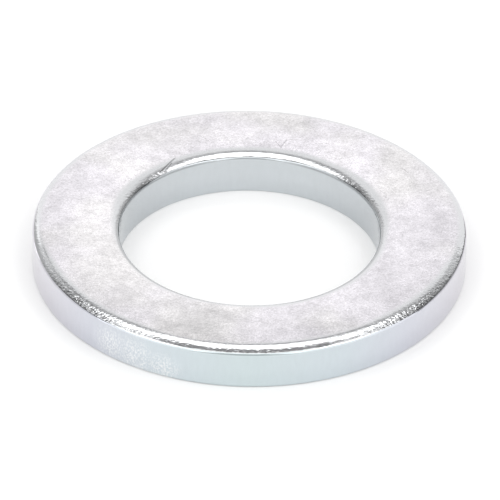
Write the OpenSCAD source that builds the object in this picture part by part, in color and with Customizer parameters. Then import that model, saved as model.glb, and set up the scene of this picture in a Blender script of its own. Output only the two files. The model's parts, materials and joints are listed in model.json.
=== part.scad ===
// Flat washer, blanked and pierced from steel strip, then zinc plated.
//
// One piece: a flat ring. The punches enter from the top, so both of the top edges are drawn down
// into a wide, shallow die roll, while the bottom edges stay almost sharp.
// Z = 0 is the bottom bearing face, and the bore runs along Z.

/* [Ring] */
// Outside diameter
outer_d = 30; // [24:0.5:60]
// Bore diameter
bore_d = 18; // [6:0.1:24]
// Thickness between the two bearing faces
thickness = 3; // [1.5:0.1:6]

/* [Outer edge] */
// Width of the outer die roll, in from the rim
outer_roll_w = 1.15; // [0.8:0.05:1.6]
// Depth of the outer die roll, down from the top face
outer_roll_h = 0.47; // [0.2:0.01:0.7]
// Radius where the outer die roll turns into the rim
outer_nose_r = 0.22; // [0.05:0.01:0.3]

/* [Bore edge] */
// Width of the bore's die roll, out from the bore
bore_roll_w = 1.10; // [0.7:0.05:1.6]
// Depth of the bore's die roll, down from the top face
bore_roll_h = 0.32; // [0.2:0.01:0.6]
// Radius where the bore's die roll turns into the bore wall
bore_nose_r = 0.15; // [0.05:0.01:0.25]

/* [Bottom edges] */
// Radius that tumbling leaves on the two bottom edges
edge_break_r = 0.08; // [0.04:0.01:0.3]

/* [Hidden] */
$fn = 180;

outer_r = outer_d / 2;
bore_r = bore_d / 2;
ring_w = outer_r - bore_r;

// A die roll leaves at least a flat fifth of the ring and a third of the wall.
most_roll_w = 0.4 * ring_w;
most_roll_h = 0.6 * thickness;
outer_roll = [min(outer_roll_w, most_roll_w), min(outer_roll_h, most_roll_h)];
bore_roll = [min(bore_roll_w, most_roll_w), min(bore_roll_h, most_roll_h)];

// A nose stays clearly tighter than its roll is deep, so that a face arc fits above it.
function nose_of(nose_r, roll) = min(nose_r, 0.8 * roll[1]);

// Radius of the arc that is tangent to the face and, inside, to the nose.
function face_arc_r(w, h, nose) = (w * w + h * h - 2 * w * nose) / (2 * (h - nose));

// What a die roll removes. The sharp corner is at the origin, with the metal to its left and below.
// A wide arc leaves the face, and a tight nose carries on from it, tangent, down to the wall.
module die_roll_waste(roll, nose_r) {
    w = roll[0];
    h = roll[1];
    nose = nose_of(nose_r, roll);
    face_r = face_arc_r(w, h, nose);
    face_centre = [-w, -face_r];
    nose_centre = [-nose, -h];
    seam = nose_centre - face_centre;
    seam_dir = seam / norm(seam);
    reach = 2 * face_r;
    difference() {
        translate([-w, -h]) square([w + 1, h + 1]);
        intersection() {
            translate(face_centre) circle(r = face_r);
            polygon([face_centre, face_centre + reach * seam_dir, face_centre + [0, reach]]);
        }
        translate(nose_centre) circle(r = nose);
    }
}

// What a rounded edge removes from the corner at the origin, with the metal to its left and above.
module edge_break_waste(r) {
    difference() {
        translate([-r, -1]) square([r + 1, r + 1]);
        translate([-r, r]) circle(r = r);
    }
}

// Half of the ring's section, radius along X and height along Y.
module section() {
    difference() {
        translate([bore_r, 0]) square([ring_w, thickness]);
        translate([outer_r, thickness]) die_roll_waste(outer_roll, outer_nose_r);
        translate([bore_r, thickness]) mirror([1, 0]) die_roll_waste(bore_roll, bore_nose_r);
        translate([outer_r, 0]) edge_break_waste(edge_break_r);
        translate([bore_r, 0]) mirror([1, 0]) edge_break_waste(edge_break_r);
    }
}

module washer() {
    color("gainsboro") rotate_extrude() section();
}

washer();
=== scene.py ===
# %% [markdown]
# # A flat washer
# A flat washer is a plain ring that spreads the load of a bolt head or a nut. This one was blanked
# and pierced from steel strip in a press, tumbled in a barrel to take its burrs off, and then
# plated with bright zinc. It is a single piece, so its character is all in the shape of its edges
# and in its skin: satin faces, glossy rolled edges and pale, faintly coloured walls.
#
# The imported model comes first, because every size and place below is worked out from it.

import json
import math
import random

import bmesh
import bpy
from mathutils import Matrix, Vector, noise


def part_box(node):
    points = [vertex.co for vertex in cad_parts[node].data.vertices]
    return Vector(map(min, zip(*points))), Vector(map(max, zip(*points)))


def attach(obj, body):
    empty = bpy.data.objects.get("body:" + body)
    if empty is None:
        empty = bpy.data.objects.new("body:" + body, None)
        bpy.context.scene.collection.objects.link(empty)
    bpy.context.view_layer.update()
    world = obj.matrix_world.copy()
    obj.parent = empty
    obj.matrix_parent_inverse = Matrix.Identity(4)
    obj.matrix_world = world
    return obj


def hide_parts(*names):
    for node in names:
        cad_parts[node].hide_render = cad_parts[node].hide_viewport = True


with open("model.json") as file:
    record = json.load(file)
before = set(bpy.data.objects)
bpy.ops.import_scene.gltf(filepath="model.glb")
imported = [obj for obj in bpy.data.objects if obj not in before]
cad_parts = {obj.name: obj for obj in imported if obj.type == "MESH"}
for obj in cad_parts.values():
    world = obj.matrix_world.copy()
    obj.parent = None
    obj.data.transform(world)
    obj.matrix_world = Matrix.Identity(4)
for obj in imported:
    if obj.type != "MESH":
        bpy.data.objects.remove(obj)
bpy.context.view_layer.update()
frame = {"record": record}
MM = 0.001

lowest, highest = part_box("washer")
OUTER_R = (highest.x - lowest.x) / 2
THICKNESS = highest.z - lowest.z
mounts = {mount["name"]: mount for mount in frame["record"]["mounts"]}
BORE_R = mounts["bore"]["dims"]["r_mm"] * MM
print(f"outer radius {OUTER_R / MM:.2f} mm, bore radius {BORE_R / MM:.2f} mm, "
      f"thickness {THICKNESS / MM:.2f} mm")

# %% [markdown]
# ## Camera
# The washer is seen from about 34 degrees above the table through a very long lens, as small parts
# are for a catalogue, so its far side looks hardly smaller than its near side. The camera stands a
# hundred washer radii away. Its lens follows from that distance and from how much of the picture's
# width the washer fills. The aim is a little off the ring's centre, in shares of that width, which
# a small turn of the camera gives without any lens shift.

# %% Camera lens
SENSOR_MM = 36
WASHER_SHARE = 0.868
DISTANCE = 100 * OUTER_R
reach = WASHER_SHARE * DISTANCE / (2 * OUTER_R)

camera_data = bpy.data.cameras.new("camera")
camera_data.sensor_width = SENSOR_MM
camera_data.lens = reach * SENSOR_MM
camera_data.dof.use_dof = False
print(f"lens {camera_data.lens:.0f} mm at {DISTANCE:.2f} m")

# %% Camera place
ELEVATION = math.radians(34.36)
LEAN = math.radians(0.9)
AIM_RIGHT = -0.0019
AIM_UP = -0.0283

pitch = math.pi / 2 - ELEVATION - math.atan(AIM_UP / reach)
yaw = math.atan(AIM_RIGHT / reach)
turn = Matrix.Rotation(yaw, 3, "Z") @ Matrix.Rotation(pitch, 3, "X") @ Matrix.Rotation(LEAN, 3, "Z")
camera = bpy.data.objects.new("camera", camera_data)
bpy.context.scene.collection.objects.link(camera)
camera.location = (0, -DISTANCE * math.cos(ELEVATION), DISTANCE * math.sin(ELEVATION))
camera.rotation_euler = turn.to_euler()
bpy.context.scene.camera = camera
print(f"camera {camera.location.z:.2f} m above the table")

# %% [markdown]
# ## Section
# A punch pulls the strip down before it shears it, so both top edges are drawn into a wide soft
# shoulder that ends in a tight nose. The faces are also left crowned, by less than a tenth of a
# millimetre. None of this is a bevel on a sharp corner: it is one smooth line of tangent arcs.
#
# So the section is drawn with a pen, as a lathe hand would grind a form tool. Each bend turns the
# line from one tilt to another about a centre square to it, and each stroke goes straight. The tilt
# is that of the surface: 0 faces up and 90 faces outwards.

# %% Edges
# The crown and limit are tilts in degrees, where the shoulder's arc starts and ends, and the
# shoulder and nose are radii. The breaks are the radii that tumbling leaves on the bottom edges.
OUTER_EDGE = {"crown": 1.4, "shoulder": 2.70 * MM, "limit": 23, "nose": 0.20 * MM}
BORE_EDGE = {"crown": 3.2, "shoulder": 3.20 * MM, "limit": 17, "nose": 0.15 * MM}
OUTER_BREAK, BORE_BREAK = 0.18 * MM, 0.08 * MM


def facing(tilt):
    """The direction that a surface faces, in the XZ plane, from its tilt in degrees."""
    return Vector((math.sin(math.radians(tilt)), 0, math.cos(math.radians(tilt))))


def edge_width(edge):
    """How far a rolled edge reaches in from its wall."""
    limit, crown = facing(edge["limit"]).x, facing(edge["crown"]).x
    return edge["shoulder"] * (limit - crown) + edge["nose"] * (1 - limit)


print(f"rolled edges {edge_width(OUTER_EDGE) / MM:.2f} and {edge_width(BORE_EDGE) / MM:.2f} mm wide")

# %% [markdown]
# The crown has one radius right across the face. It follows from the face's width and from the
# tilts at which its two shoulders take over, and so does the place of its highest point.

# %% Crown
face_inner = BORE_R + edge_width(BORE_EDGE)
face_outer = OUTER_R - edge_width(OUTER_EDGE)
crown_r = (face_outer - face_inner) / (facing(OUTER_EDGE["crown"]).x + facing(BORE_EDGE["crown"]).x)
face_top = face_outer - crown_r * facing(OUTER_EDGE["crown"]).x
print(f"face from {face_inner / MM:.2f} to {face_outer / MM:.2f} mm, crowned on {crown_r / MM:.0f} mm")


# %% Pen
def bend(bm, pen, radius, tilts, steps):
    """Swings the pen's vertex from one tilt to another and returns its last vertex."""
    made = bmesh.ops.spin(bm, geom=[pen], cent=pen.co - radius * facing(tilts[0]), axis=(0, 1, 0),
                          dvec=(0, 0, 0), angle=math.radians(tilts[1] - tilts[0]), steps=steps,
                          use_duplicate=False)
    return next(item for item in made["geom_last"] if isinstance(item, bmesh.types.BMVert))


def stroke(bm, pen, to, steps):
    """Draws a straight stroke of equal steps from the pen's vertex and returns its last vertex."""
    step = (Vector(to) - pen.co) / steps
    for _ in range(steps):
        pen = bmesh.ops.extrude_vert_indiv(bm, verts=[pen])["verts"][0]
        bmesh.ops.translate(bm, verts=[pen], vec=step)
    return pen


# %% Outer half of the section
bm = bmesh.new()
pen = bm.verts.new((face_top, 0, THICKNESS))
pen = bend(bm, pen, crown_r, (0, OUTER_EDGE["crown"]), steps=9)
pen = bend(bm, pen, OUTER_EDGE["shoulder"], (OUTER_EDGE["crown"], OUTER_EDGE["limit"]), steps=14)
pen = bend(bm, pen, OUTER_EDGE["nose"], (OUTER_EDGE["limit"], 90), steps=9)
pen = stroke(bm, pen, (OUTER_R, 0, OUTER_BREAK), steps=17)
pen = bend(bm, pen, OUTER_BREAK, (90, 180), steps=5)
print(f"outer half ends at r {pen.co.x / MM:.2f} mm, z {pen.co.z / MM:.2f} mm")

# %% [markdown]
# The bore's half comes back up to the starting point. The pen can't feel where the bore wall has to
# stop, so the drop from the crown's top to the foot of the nose is added up from its three arcs.
# The pen ends on the vertex where it began, so the two are merged to close the section.

# %% Bore half of the section
CLOSING_GAP = 0.001 * MM
limit = 360 - BORE_EDGE["limit"]
crown = 360 - BORE_EDGE["crown"]
drop = crown_r * (1 - facing(crown).z)
drop += BORE_EDGE["shoulder"] * (facing(crown).z - facing(limit).z)
drop += BORE_EDGE["nose"] * facing(limit).z
pen = stroke(bm, pen, (BORE_R + BORE_BREAK, 0, 0), steps=19)
pen = bend(bm, pen, BORE_BREAK, (180, 270), steps=3)
pen = stroke(bm, pen, (BORE_R, 0, THICKNESS - drop), steps=15)
pen = bend(bm, pen, BORE_EDGE["nose"], (270, limit), steps=8)
pen = bend(bm, pen, BORE_EDGE["shoulder"], (limit, crown), steps=12)
pen = bend(bm, pen, crown_r, (crown, 360), steps=19)
bmesh.ops.remove_doubles(bm, verts=bm.verts, dist=CLOSING_GAP)
print(f"section of {len(bm.verts)} vertices and {len(bm.edges)} edges")

# %% [markdown]
# ## Ring
# The press makes the ring in one blow, and a lathe would turn it from a bar. Here the section is
# spun about the bore's axis. One spin of 720 steps takes about 15 seconds, because each step is
# slower than the last, so the spin is done in two: a short wedge first, and then copies of the
# wedge, in half a second. Each copy has its own vertices on its seams, so they are merged, and the
# normals are recalculated so that every face points outwards.

# %% Ring
WEDGES = 24
WEDGE_STEPS = 30
SEAM_GAP = 0.0001 * MM
wedge_angle = 2 * math.pi / WEDGES

bmesh.ops.spin(bm, geom=bm.verts[:] + bm.edges[:], cent=(0, 0, 0), axis=(0, 0, 1), dvec=(0, 0, 0),
               angle=wedge_angle, steps=WEDGE_STEPS)
bmesh.ops.spin(bm, geom=bm.verts[:] + bm.edges[:] + bm.faces[:], cent=(0, 0, 0), axis=(0, 0, 1),
               dvec=(0, 0, 0), angle=wedge_angle * (WEDGES - 1), steps=WEDGES - 1,
               use_duplicate=True)
bmesh.ops.remove_doubles(bm, verts=bm.verts, dist=SEAM_GAP)
bmesh.ops.recalc_face_normals(bm, faces=bm.faces)
open_edges = [edge for edge in bm.edges if not edge.is_manifold]
print(f"ring of {len(bm.faces)} faces, {bm.calc_volume() / MM ** 3:.1f} mm3, {len(open_edges)} open edges")

# %% [markdown]
# ## Wear
# Tumbling knocks the washers against each other. The faces stay flat, but the rolled edges and the
# walls are left slightly wavy, with small dents that are deepest on the corners. A displacement
# modifier could do this, but a vertex move in code lets the wear fade out on the faces and keeps
# every dent inwards, so that the ring never grows past its real size. The top corners, where the
# surface leans at 45 degrees, take dents up to five times as deep as the walls do.

# %% Wear
KEPT_IN = 0.004 * MM
WAVE_DEPTH, WAVE_LENGTH = 0.005 * MM, 1.6 * MM
DENT_DEPTH, DENT_LENGTH = 0.002 * MM, 0.45 * MM
CORNER_DENTS = 4
WORN_REACH, WORN_FADE = 0.7 * MM, 0.8 * MM


def worn_share(point):
    """1 on the rolled edges and walls, fading to 0 on the faces."""
    r = math.hypot(point.x, point.y)
    reach = min(OUTER_R - r, r - BORE_R)
    return max(0, min(1, 1 - (reach - WORN_REACH) / WORN_FADE))


def worn_depth(vert):
    """How far tumbling pushed this point in."""
    wave = 0.5 + 0.5 * noise.noise(vert.co / WAVE_LENGTH)
    dent = 0.5 + 0.5 * noise.noise(vert.co / DENT_LENGTH + Vector((7, 3, 1)))
    up = max(0, vert.normal.z) ** 2
    corner = 4 * up * (1 - up)
    depth = KEPT_IN + WAVE_DEPTH * wave + DENT_DEPTH * (1 + CORNER_DENTS * corner) * dent
    return worn_share(vert.co) * depth


bm.normal_update()
moves = [-worn_depth(vert) * vert.normal for vert in bm.verts]
for vert, move in zip(bm.verts, moves):
    vert.co += move
print(f"deepest wear {max(move.length for move in moves) / MM:.3f} mm")

# %% Washer
for face in bm.faces:
    face.smooth = True
mesh = bpy.data.meshes.new("washer_ring")
bm.to_mesh(mesh)
bm.free()
washer = bpy.data.objects.new("washer_ring", mesh)
bpy.context.scene.collection.objects.link(washer)
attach(washer, "root")
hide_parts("washer")
print(f"washer_ring: {len(mesh.vertices)} vertices")

# %% [markdown]
# ## Finish: bright zinc electroplate
# The steel is electroplated with about 8 micrometres of zinc, which is then passivated in a thin
# clear film. Zinc is a pale metal, so everything that the eye gets from it is reflection: there is
# no paint colour under it. Three things vary. Barrel tumbling leaves the faces satin and softly
# mottled, while the rolled edges are burnished to a gloss. The passivate film is thin enough to
# tint the metal by interference, from pale blue-green to pale pink. And washers rub each other.
#
# So it is one material: fully metallic, with its tint, roughness and bump driven by where a point is
# on the ring. The places come from Object coordinates, which here are real metres from the bore's
# axis, so every size below is a real one.


# %% Node helper
def linear(hex_colour):
    """Turns an sRGB colour such as "DDE0E4" into the linear values that nodes hold."""
    channels = [int(hex_colour[i:i + 2], 16) / 255 for i in (0, 2, 4)]
    return [c / 12.92 if c <= 0.04045 else ((c + 0.055) / 1.055) ** 2.4 for c in channels] + [1]


# Bright zinc electroplate: a pale mirror-like metal that looks white in a white room, with soft
# grey lines wherever it bends sharply enough to mirror something dark.
zinc = bpy.data.materials.new("bright_zinc_electroplate")
zinc.use_nodes = True
shader = zinc.node_tree.nodes["Principled BSDF"]
shader.inputs["Metallic"].default_value = 1
MATH, VECTOR, RANGE = "ShaderNodeMath", "ShaderNodeVectorMath", "ShaderNodeMapRange"
NOISE, MIX, BUMP = "ShaderNodeTexNoise", "ShaderNodeMix", "ShaderNodeBump"
SOFT = {"interpolation_type": "SMOOTHSTEP"}
# A Mix node's inputs share their names, so they go by number: 2 and 3 for values, 6 and 7 for colours.
COLOUR = {"data_type": "RGBA", "out": 2}


def add(kind, inputs, out=0, **settings):
    """Adds one node. Each input is a value to hold or a socket to link. Returns one output."""
    node = zinc.node_tree.nodes.new(kind)
    for key, value in settings.items():
        setattr(node, key, value)
    for key, value in inputs.items():
        if isinstance(value, bpy.types.NodeSocket):
            zinc.node_tree.links.new(value, node.inputs[key])
        else:
            node.inputs[key].default_value = value
    return node.outputs[out]


print(f"material {zinc.name}")

# %% Places on the ring
place = add("ShaderNodeTexCoord", {}, out="Object")
flat = add(VECTOR, {0: place, 1: (1, 1, 0)}, operation="MULTIPLY")
radius = add(VECTOR, {0: flat}, out="Value", operation="LENGTH")
across = add("ShaderNodeSeparateXYZ", {0: place}, out="X")
along = add("ShaderNodeSeparateXYZ", {0: place}, out="Y")
height = add("ShaderNodeSeparateXYZ", {0: place}, out="Z")
from_rim = add(MATH, {0: OUTER_R, 1: radius}, operation="SUBTRACT")
from_bore = add(MATH, {0: radius, 1: BORE_R}, operation="SUBTRACT")
from_edge = add(MATH, {0: from_rim, 1: from_bore}, operation="MINIMUM")

# 1 on both walls and 0 on the faces and rolled edges.
ROLL_ENDS, WALL_STARTS = 0.16 * MM, 0.06 * MM
wall = add(RANGE, {"Value": from_edge, "From Min": ROLL_ENDS, "From Max": WALL_STARTS}, **SOFT)
not_wall = add(MATH, {0: 1.0, 1: wall}, operation="SUBTRACT")

# 0 on the ring's middle line from front to back, and 1 at its left and right ends.
aside = add(MATH, {0: across}, operation="ABSOLUTE")
side = add(MATH, {0: aside, 1: OUTER_R}, operation="DIVIDE")
print(f"places made with {len(zinc.node_tree.nodes)} nodes")

# %% [markdown]
# ### Grain
# The zinc's own crystals are far too fine to see. What shows is the tumbled surface under it: a
# mottle of about 1 mm patches that holds finer and finer ones, and a salt-and-pepper speck. The
# real speck is near 0.05 mm, too fine to show from here, so it is drawn at 0.14 mm. Both scale the
# tint a little, as a matt spot sends less light back to the eye than a bright one. A noise seldom
# leaves the middle half of its range, so that half is what gets stretched to the tones.


# %% Grain
def grains(size, detail, rough, scale=(1, 1, 1), offset=(0, 0, 0)):
    """A pattern whose largest grains are about this size. The offset keeps two patterns apart."""
    moved = add("ShaderNodeMapping", {"Vector": place, "Scale": scale, "Location": offset})
    return add(NOISE, {"Vector": moved, "Scale": 1 / size, "Detail": detail, "Roughness": rough})


MOTTLE_SIZE, MOTTLE_TONES = 1.1 * MM, (0.69, 1.23)
SPECK_SIZE, SPECK_TONES = 0.14 * MM, (0.89, 1.11)
mottle = add(RANGE, {"Value": grains(MOTTLE_SIZE, 5, 0.95), "From Min": 0.25, "From Max": 0.75,
                     "To Min": MOTTLE_TONES[0], "To Max": MOTTLE_TONES[1]})
speck = add(RANGE, {"Value": grains(SPECK_SIZE, 1, 0.5, offset=(1, 2, 3)), "From Min": 0.25,
                    "From Max": 0.75, "To Min": SPECK_TONES[0], "To Max": SPECK_TONES[1]})
grain = add(MATH, {0: mottle, 1: speck}, operation="MULTIPLY")
print(f"mottle {MOTTLE_SIZE / MM:.1f} mm, speck {SPECK_SIZE / MM:.2f} mm")

# %% [markdown]
# ### Satin and gloss
# The rolled edges were burnished, and the gloss runs a little way on to the face before it turns
# satin. It doesn't run as far all the way round, as if the punch had not been quite centred: the
# rim is glossy furthest in at the front of the ring, and the bore's edge is at the back. Each reach
# is given by the places along Y where it is least and most, and it wanders with a broad blotch.

# %% Satin and gloss
GLOSS_LEAST, GLOSS_MOST = 0.15 * MM, 0.80 * MM
GLOSS_FADE = 0.50 * MM
GLOSS_WANDER = 0.15 * MM
RIM_GLOSS_LEAST, RIM_GLOSS_MOST = 3 * MM, -9 * MM
BORE_GLOSS_LEAST, BORE_GLOSS_MOST = -2 * MM, 6 * MM
BLOTCH_SIZE = 7 * MM
blotch = grains(BLOTCH_SIZE, 2, 0.5)
wander = add(RANGE, {"Value": blotch, "From Min": 0.3, "From Max": 0.7, "To Min": -GLOSS_WANDER,
                     "To Max": GLOSS_WANDER})


def satin_from(distance, least_at, most_at):
    """0 on the gloss near an edge and 1 on the satin beyond it."""
    gloss = add(RANGE, {"Value": along, "From Min": least_at, "From Max": most_at,
                        "To Min": GLOSS_LEAST, "To Max": GLOSS_MOST}, **SOFT)
    start = add(MATH, {0: gloss, 1: wander}, operation="ADD")
    end = add(MATH, {0: start, 1: GLOSS_FADE}, operation="ADD")
    return add(RANGE, {"Value": distance, "From Min": start, "From Max": end}, **SOFT)


satin_rim = satin_from(from_rim, RIM_GLOSS_LEAST, RIM_GLOSS_MOST)
satin_bore = satin_from(from_bore, BORE_GLOSS_LEAST, BORE_GLOSS_MOST)
satin = add(MATH, {0: satin_rim, 1: satin_bore}, operation="MULTIPLY")
print(f"gloss reaches {GLOSS_LEAST / MM:.2f} to {GLOSS_MOST / MM:.2f} mm in from the edges")

# %% [markdown]
# ### Patches
# Plating current isn't even over a face, and neither is tumbling, so the face has broad soft
# patches, paler or darker by up to about a fifth. They are listed one by one, with a wobbly outline.
# Some of them are painted reflection: the lighter ones lie round the bore, most of them at the back, and
# the darker ones further out, most at the front and by the back rim, where the face mirrors brighter and
# darker surroundings.

# %% Patches
# Each patch is its angle round the ring, its distance from the axis and its size, both in
# millimetres, and how much it lightens or darkens the face, partly as painted reflection.
TONE_AND_REFLECTION_PATCHES = [(50, 10.7, 4.5, 0.13), (140, 10.7, 4.5, 0.15), (95, 11.3, 3.0, 0.08), (15, 10.5, 3.5, 0.03),
           (170, 10.8, 3.5, 0.11), (255, 12.0, 4.5, -0.21), (325, 11.5, 4.0, -0.12),
           (290, 12.3, 3.5, -0.13), (225, 12.3, 3.0, -0.10), (42, 12.9, 1.8, -0.10), (2, 12.4, 4.0, -0.07),
           (75, 14.5, 3.2, -0.05), (105, 14.5, 3.2, -0.05)]
PATCH_WOBBLE, WOBBLE_SIZE = 1.2 * MM, 2.5 * MM
wobble = add(RANGE, {"Value": grains(WOBBLE_SIZE, 3, 0.6, offset=(9, 1, 4)), "From Min": 0.3,
                     "From Max": 0.7, "To Min": -PATCH_WOBBLE, "To Max": PATCH_WOBBLE})

# The face is also slightly darker towards its rim.
DARKER_FROM, DARKER_TO = 11.8 * MM, 13.2 * MM
INNER_TONE, RIM_TONE = 1.01, 0.94
patch_and_reflection_tone = add(RANGE, {"Value": radius, "From Min": DARKER_FROM, "From Max": DARKER_TO,
                   "To Min": INNER_TONE, "To Max": RIM_TONE}, **SOFT)
for angle, out, size, gain in TONE_AND_REFLECTION_PATCHES:
    centre = Matrix.Rotation(math.radians(angle), 3, "Z") @ Vector((out * MM, 0, THICKNESS))
    away = add(VECTOR, {0: place, 1: centre}, out="Value", operation="DISTANCE")
    away = add(MATH, {0: away, 1: wobble}, operation="ADD")
    patch = add(RANGE, {"Value": away, "From Min": size * MM, "From Max": 0.0}, **SOFT)
    patch_and_reflection_tone = add(MATH, {0: patch, 1: gain, 2: patch_and_reflection_tone}, operation="MULTIPLY_ADD")
face_grain_and_reflection = add(MATH, {0: grain, 1: patch_and_reflection_tone}, operation="MULTIPLY")
print(f"{len(TONE_AND_REFLECTION_PATCHES)} patches")

# %% [markdown]
# ### Passivate film
# The film tints the metal. On the outer wall the tint goes from a pale blue-green at the middle,
# through blue, to a pinkish grey at the left and right ends; this change is a painted sheen, fixed
# on the ring, that stands in for the film's colour shifting with the angle it is seen at. In the
# bore it is a darker cool grey, darker still at the left and right, as painted shade inside the
# hole. On the faces it hardly shows, as a faint pink in places.

# %% Passivate film
FACE_TINTS = (linear("E0DEDF"), linear("E0DDE2"))
GLOSS_TINT = linear("CCCDCF")
# The outer wall's tints, painted sheen included, are given by how far aside they lie, from 0 to 1.
WALL_TINTS_AND_SHEEN = ((0.00, "CFDADC"), (0.45, "D0D8DD"), (0.72, "D2D4DC"), (0.97, "D8D6DC"))
BORE_SHADE_TINTS = (linear("CDD2D5"), linear("C9CDD0"))
NEAR_BORE, PAST_BORE = 1 * MM, 2 * MM

pinker = add(RANGE, {"Value": blotch, "From Min": 0.38, "From Max": 0.62}, **SOFT)
face_film = add(MIX, {"Factor": pinker, 6: FACE_TINTS[0], 7: FACE_TINTS[1]}, **COLOUR)
top_film = add(MIX, {"Factor": satin, 6: GLOSS_TINT, 7: face_film}, **COLOUR)

outer_film_and_sheen = add("ShaderNodeValToRGB", {0: side})
stops = outer_film_and_sheen.node.color_ramp.elements
for _ in range(len(WALL_TINTS_AND_SHEEN) - len(stops)):
    stops.new(1)
for stop, (position, colour) in zip(stops, WALL_TINTS_AND_SHEEN):
    stop.position = position
    stop.color = linear(colour)

# The bore's darker grey, darker again at the left and right, is painted shade inside the hole.
bore_shade_turn = add(RANGE, {"Value": side, "From Min": 0.2, "From Max": 0.55}, **SOFT)
bore_film_and_shade = add(MIX, {"Factor": bore_shade_turn, 6: BORE_SHADE_TINTS[0], 7: BORE_SHADE_TINTS[1]}, **COLOUR)
in_bore = add(RANGE, {"Value": from_bore, "From Min": PAST_BORE, "From Max": NEAR_BORE}, **SOFT)
wall_tint_sheen_and_shade = add(MIX, {"Factor": in_bore, 6: outer_film_and_sheen, 7: bore_film_and_shade}, **COLOUR)
print(f"outer wall in {len(WALL_TINTS_AND_SHEEN)} tints")

# %% [markdown]
# ### Rubbed spot
# On the front left of the outer wall the film is rubbed through in a patch of bright flecks, as
# another washer in the barrel would leave. Each is about 0.1 mm across, a little taller than wide.

# %% Rubbed spot
FLECK_SIZE = 0.11 * MM
RUBBED_TINT = linear("EDEFF0")
# Each blob is given by its angle round the ring, its height and its size in millimetres.
RUBBED_BLOBS = ((231, 1.2, 1.9), (239, 0.9, 2.2), (247, 0.6, 1.8))

rubbed = 0.0
for angle, up, size in RUBBED_BLOBS:
    centre = Matrix.Rotation(math.radians(angle), 3, "Z") @ Vector((OUTER_R, 0, up * MM))
    away = add(VECTOR, {0: place, 1: centre}, out="Value", operation="DISTANCE")
    blob = add(RANGE, {"Value": away, "From Min": size * MM, "From Max": 0.2 * size * MM}, **SOFT)
    rubbed = add(MATH, {0: blob, 1: rubbed}, operation="MAXIMUM")
flecks = add(RANGE, {"Value": grains(FLECK_SIZE, 2, 0.7, scale=(1, 1, 0.7), offset=(4, 4, 1)),
                     "From Min": 0.42, "From Max": 0.66}, **SOFT)
bare = add(MATH, {0: rubbed, 1: flecks}, operation="MULTIPLY")
wall_tint_sheen_and_shade = add(MIX, {"Factor": bare, 6: wall_tint_sheen_and_shade, 7: RUBBED_TINT}, **COLOUR)
print(f"{len(RUBBED_BLOBS)} rubbed blobs of {FLECK_SIZE / MM:.2f} mm flecks")

# %% [markdown]
# ### Walls
# The punch drags faint upright lines down the walls as it shears through. They are a few hundredths
# of a millimetre wide, too fine to show, so they are drawn 0.3 mm wide and very faint. The bore's
# lip is painted darker at the left and right, just under the top face, as painted shade for the
# darker surroundings that it mirrors there.

# %% Walls
DRAG_SIZE, DRAG_TONES = 0.30 * MM, (0.986, 1.014)
drag = add(RANGE, {"Value": grains(DRAG_SIZE, 2, 0.6, scale=(1, 1, 0.3), offset=(2, 8, 5)),
                   "From Min": 0.3, "From Max": 0.7, "To Min": DRAG_TONES[0],
                   "To Max": DRAG_TONES[1]})
wall_drag_and_shade = add(MIX, {"Factor": wall, 2: 1.0, 3: drag}, data_type="FLOAT")

# The painted shade on the lip fades out over these distances, outwards from the bore and down from the top
# face.
LIP_SHADE_TONE = 0.68
LIP_SHADE_OUT, LIP_SHADE_IN = 0.34 * MM, 0.16 * MM
LIP_SHADE_BOTTOM, LIP_SHADE_TOP = 0.48 * MM, 0.36 * MM
at_shaded_lip = add(RANGE, {"Value": from_bore, "From Min": LIP_SHADE_OUT, "From Max": LIP_SHADE_IN}, **SOFT)
lip_shade_side = add(RANGE, {"Value": side, "From Min": 0.08, "From Max": 0.30}, **SOFT)
lip_shade_top = add(RANGE, {"Value": height, "From Min": THICKNESS - LIP_SHADE_BOTTOM,
                      "From Max": THICKNESS - LIP_SHADE_TOP}, **SOFT)
lip_shade = add(MATH, {0: at_shaded_lip, 1: lip_shade_side}, operation="MULTIPLY")
lip_shade = add(MATH, {0: lip_shade, 1: lip_shade_top}, operation="MULTIPLY")
lip_shade_tone = add(RANGE, {"Value": lip_shade, "To Min": 1.0, "To Max": LIP_SHADE_TONE})
wall_drag_and_shade = add(MATH, {0: wall_drag_and_shade, 1: lip_shade_tone}, operation="MULTIPLY")
print(f"drag lines {DRAG_SIZE / MM:.2f} mm wide")

# %% [markdown]
# ### Scratches
# A few bright-edged scratches cross the top face: one double nick that runs out of the bore at the
# back left, a small tick mark beside the bore at the back, and some faint hairlines. Each is a mask
# round a straight line, because a noise never gives a single deliberate-looking stroke. The
# hairlines are drawn at random from a fixed seed.


# %% Scratch helper
def scratch(start, end, width):
    """A soft line mask between two points on the top face, all in millimetres."""
    first, last = Vector((*start, 0)) * MM, Vector((*end, 0)) * MM
    length = (last - first).length
    course = (last - first).normalized()
    gone = add(VECTOR, {0: flat, 1: first}, operation="SUBTRACT")
    gone_along = add(VECTOR, {0: gone, 1: course}, out="Value", operation="DOT_PRODUCT")
    gone_along = add(RANGE, {"Value": gone_along, "From Max": length, "To Max": length})
    nearest = add(VECTOR, {0: course, "Scale": gone_along}, operation="SCALE")
    off = add(VECTOR, {0: gone, 1: nearest}, out="Value", operation="DISTANCE")
    return add(RANGE, {"Value": off, "From Min": width * MM, "From Max": 0.3 * width * MM}, **SOFT)


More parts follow.
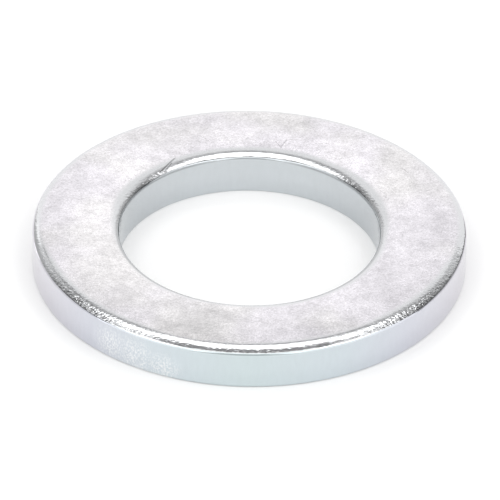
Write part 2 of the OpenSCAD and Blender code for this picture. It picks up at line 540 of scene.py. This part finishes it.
# %% Scratches
# Each scratch is its start, its end, its width and its strength.
NICK = [((-6.20, 6.97), (-5.25, 8.56), 0.08, 0.8), ((-5.93, 7.05), (-5.42, 8.05), 0.07, 0.9)]
TICK = [((1.7, 10.8), (2.1, 10.1), 0.06, 0.5), ((2.1, 10.1), (2.5, 11.0), 0.06, 0.6)]
HAIRLINES = 9
draw = random.Random(11)
hairlines = []
for _ in range(HAIRLINES):
    angle, out = math.radians(draw.uniform(0, 360)), draw.uniform(10.6, 13.6)
    start = Vector((out * math.cos(angle), out * math.sin(angle)))
    lean = draw.uniform(0, math.pi)
    end = start + draw.uniform(0.8, 2.2) * Vector((math.cos(lean), math.sin(lean)))
    hairlines.append((start, end, draw.uniform(0.04, 0.06), draw.uniform(0.2, 0.45)))

scratched = 0.0
for start, end, width, depth in NICK + TICK + hairlines:
    cut = add(MATH, {0: scratch(start, end, width), 1: depth}, operation="MULTIPLY")
    scratched = add(MATH, {0: cut, 1: scratched}, operation="MAXIMUM")
on_top = add(RANGE, {"Value": height, "From Min": 0.5 * THICKNESS, "From Max": 0.7 * THICKNESS}, **SOFT)
scratched = add(MATH, {0: scratched, 1: on_top}, operation="MULTIPLY")
scratched = add(MATH, {0: scratched, 1: not_wall}, operation="MULTIPLY")
print(f"{len(NICK + TICK + hairlines)} scratches")

# %% [markdown]
# ### Tint and roughness
# The masks come together here, the painted reflection in the face's patches and the painted sheen
# and shade on the walls among them. The grain and the patches only act on the satin, because
# burnished metal has neither. A scratch sends light elsewhere, so it takes over a quarter of the
# tint away.

# %% Tint
SCRATCH_TONE = 0.72
tint = add(MIX, {"Factor": wall, 6: top_film, 7: wall_tint_sheen_and_shade}, **COLOUR)
satin_grain_and_reflection = add(MIX, {"Factor": satin, 2: 1.0, 3: face_grain_and_reflection}, data_type="FLOAT")
scratch_tone = add(RANGE, {"Value": scratched, "To Min": 1.0, "To Max": SCRATCH_TONE})
for part_tone in (satin_grain_and_reflection, wall_drag_and_shade, scratch_tone):
    tint = add(VECTOR, {0: tint, "Scale": part_tone}, operation="SCALE")
zinc.node_tree.links.new(tint, shader.inputs["Base Color"])
print(f"{len(zinc.node_tree.nodes)} nodes so far")

# %% Roughness
GLOSS_ROUGHNESS = 0.12
SATIN_ROUGHNESS = 0.24
roughness = add(MIX, {"Factor": satin, 2: GLOSS_ROUGHNESS, 3: SATIN_ROUGHNESS}, data_type="FLOAT")
zinc.node_tree.links.new(roughness, shader.inputs["Roughness"])
print(f"roughness {GLOSS_ROUGHNESS} on the edges and {SATIN_ROUGHNESS} on the faces")

# %% [markdown]
# ### Bump
# Three fine reliefs are too small for the mesh: the satin's 0.25 mm ripple, the crinkle of the
# burnished edges and the scratches. The crinkle is what breaks up the dark lines that the edges
# mirror. The metal was dragged along there, so its grains are stretched. It is strongest in the
# last third of a millimetre before a corner, and between the middle of the ring and its ends. It is
# lighter at the middle of the front and back, at the left and right ends, and round the bore.

# %% Crinkle
CRINKLE_SIZE = 0.16 * MM
CRINKLE_FULL, CRINKLE_FADED = 0.32 * MM, 0.68 * MM
MIDDLE_SHARE, END_SHARE, INNER_SHARE, BORE_SHARE = 0.42, 0.3, 0.25, 0.5
crinkled = add(MATH, {0: not_wall, 1: satin}, operation="SUBTRACT", use_clamp=True)
by_side = add(RANGE, {"Value": side, "From Min": 0.32, "From Max": 0.62, "To Min": MIDDLE_SHARE})
at_ends = add(RANGE, {"Value": side, "From Min": 0.90, "From Max": 0.97, "To Min": 1.0,
                      "To Max": END_SHARE})
by_corner = add(RANGE, {"Value": from_edge, "From Min": CRINKLE_FULL, "From Max": CRINKLE_FADED,
                        "To Min": 1.0, "To Max": INNER_SHARE})
by_bore = add(RANGE, {"Value": in_bore, "To Min": 1.0, "To Max": BORE_SHARE})
for part_depth in (by_side, at_ends, by_corner, by_bore):
    crinkled = add(MATH, {0: crinkled, 1: part_depth}, operation="MULTIPLY")
crinkle = grains(CRINKLE_SIZE, 1, 0.5, scale=(0.7, 1, 1), offset=(3, 5, 7))
print(f"crinkle of {CRINKLE_SIZE / MM:.2f} mm grains")

# %% Bump
RIPPLE_SIZE = 0.25 * MM
RIPPLE_DEPTH, CRINKLE_DEPTH, SCRATCH_DEPTH = 0.010 * MM, 0.031 * MM, 0.020 * MM
ripple = grains(RIPPLE_SIZE, 3, 0.6)
relief = add(BUMP, {"Height": ripple, "Strength": satin, "Distance": RIPPLE_DEPTH})
relief = add(BUMP, {"Height": crinkle, "Strength": crinkled, "Distance": CRINKLE_DEPTH,
                    "Normal": relief})
relief = add(BUMP, {"Height": scratched, "Strength": 1.0, "Distance": SCRATCH_DEPTH,
                    "Normal": relief}, invert=True)
zinc.node_tree.links.new(relief, shader.inputs["Normal"])
mesh.materials.append(zinc)
print(f"{len(zinc.node_tree.nodes)} nodes in {zinc.name}")

# %% [markdown]
# ## Table
# The washer lies on plain white card. A disc 6 m across is wide enough to fill the view from
# anywhere above it, and it is only there to catch the shadow and to light the washer from below.
# The card glows a little, as it stands for a table that is lit from all round.

# %% Table
TABLE_RADIUS = 3
TABLE_WHITE = 0.77
TABLE_GLOW = 0.17
TABLE_ROUGHNESS = 0.9
table_bm = bmesh.new()
bmesh.ops.create_circle(table_bm, cap_ends=True, segments=64, radius=TABLE_RADIUS)
table_mesh = bpy.data.meshes.new("table")
table_bm.to_mesh(table_mesh)
table_bm.free()
table = bpy.data.objects.new("table", table_mesh)
bpy.context.scene.collection.objects.link(table)

# Matt white card: it scatters light evenly and has no sheen of its own.
card = bpy.data.materials.new("matt_white_card")
card.use_nodes = True
card_shader = card.node_tree.nodes["Principled BSDF"]
card_shader.inputs["Base Color"].default_value = (TABLE_WHITE, TABLE_WHITE, TABLE_WHITE, 1)
card_shader.inputs["Roughness"].default_value = TABLE_ROUGHNESS
card_shader.inputs["Specular IOR Level"].default_value = 0
card_shader.inputs["Emission Color"].default_value = (1, 1, 1, 1)
card_shader.inputs["Emission Strength"].default_value = TABLE_GLOW
table_mesh.materials.append(card)
print(f"table {2 * TABLE_RADIUS} m across")

# %% [markdown]
# ## Lights
# A polished ring shows its surroundings more than its own colour, so it is lit as small shiny parts
# are: inside a tent of white cards and softboxes, with narrow gaps between them. The flat face
# mirrors what is behind it at the camera's own height, and each rolled edge sweeps from there up
# over the top and down to the front. So a row of strips high behind the washer becomes the bright
# line on each edge, and the gaps under and over the strips become the dark lines beside it.
#
# Each light is placed by its azimuth and elevation in degrees, with its width and height as seen
# from the washer, and its radiance, where 1 is the white of a fully lit card. Azimuth 0 is straight
# behind the washer and 90 is to its right. All of them stand 1 m away.


# %% Softbox
LIGHT_DISTANCE = 1.0


def softbox(name, azimuth, elevation, width, height, radiance):
    """Adds an area light that faces the washer, and that only the washer and the table see."""
    data = bpy.data.lights.new(name, "AREA")
    data.shape = "RECTANGLE"
    data.size = 2 * LIGHT_DISTANCE * math.tan(math.radians(width / 2))
    data.size_y = 2 * LIGHT_DISTANCE * math.tan(math.radians(height / 2))
    data.energy = radiance * math.pi * data.size * data.size_y
    lamp = bpy.data.objects.new(name, data)
    bpy.context.scene.collection.objects.link(lamp)
    a, e = math.radians(azimuth), math.radians(elevation)
    away = Vector((math.sin(a) * math.cos(e), math.cos(a) * math.cos(e), math.sin(e)))
    lamp.location = LIGHT_DISTANCE * away
    lamp.rotation_euler = away.to_track_quat("Z", "Y").to_euler()
    lamp.visible_camera = False


# %% Room
# The room's own grey is all that the washer mirrors in the gaps, so each card's radiance is what it
# adds to that grey. Past the table's edge, a view from low down sees plain white paper instead.
ROOM = 0.12
PAPER = 1.0
world = bpy.data.worlds.new("studio")
world.use_nodes = True
room_nodes = world.node_tree.nodes
seen = room_nodes.new("ShaderNodeLightPath")
wall_colour = room_nodes.new("ShaderNodeMix")
wall_colour.data_type = "RGBA"
wall_colour.inputs[6].default_value = (ROOM, ROOM, ROOM, 1)
wall_colour.inputs[7].default_value = (PAPER, PAPER, PAPER, 1)
world.node_tree.links.new(seen.outputs["Is Camera Ray"], wall_colour.inputs[0])
world.node_tree.links.new(wall_colour.outputs[2], room_nodes["Background"].inputs["Color"])
bpy.context.scene.world = world
bpy.context.scene.view_settings.view_transform = "Standard"
print(f"room grey {ROOM}")

# %% Cards behind the washer
softbox("back card", 3, 15, 50, 42, 1.24 - ROOM)
softbox("back card top", 0, 39.5, 30, 7, 1.15 - ROOM)
softbox("back card fade", 1, 44.7, 26, 4.4, 0.90 - ROOM)
softbox("right card top", 29, 39.5, 15, 7, 0.85 - ROOM)
softbox("left card top", -26, 40, 9, 8, 0.47 - ROOM)
softbox("left low card", -36, 2, 28, 32, 0.98 - ROOM)
softbox("left middle card", -32, 30, 18, 26, 0.62 - ROOM)
print(f"{len(bpy.data.lights)} cards, which the flat face mirrors")

# %% Strips and panels above the washer
# Each strip is given by its azimuth and height, and they all stand on one line.
STRIPS = ((-24, 10.8), (0, 14.4), (24, 10.8))
STRIP_FOOT, STRIP_WIDTH, STRIP_RADIANCE = 51.8, 12.8, 2.7
for azimuth, tall in STRIPS:
    softbox(f"strip at {azimuth}", azimuth, STRIP_FOOT + tall / 2, STRIP_WIDTH, tall, STRIP_RADIANCE)
softbox("card under the strips", 0, 49.6, 44, 4.6, 0.44 - ROOM)
softbox("card over the strips", 0, 70.5, 26, 13, 0.40 - ROOM)
softbox("top panel", 180, 80, 60, 38, 1.4)
softbox("left upper panel", -81, 61.5, 34, 20, 1.5)
softbox("right upper panel", 86, 62, 36, 20, 1.5)
print(f"{len(STRIPS)} strips and 3 panels overhead")

# %% Cards and panels round the washer
softbox("left panel", -128, 24, 54, 66, 1.15)
softbox("right panel", 122, 24, 68, 66, 1.15)
softbox("left card", -72, 9, 58, 52, 0.88 - ROOM)
softbox("right card", 61, 2, 50, 38, 0.88 - ROOM)
softbox("right card lip", 57, 27.5, 36, 13, 0.55 - ROOM)
softbox("front card", 180, 30, 50, 60, 0.66 - ROOM)
print(f"{len(bpy.data.lights)} lights in all")
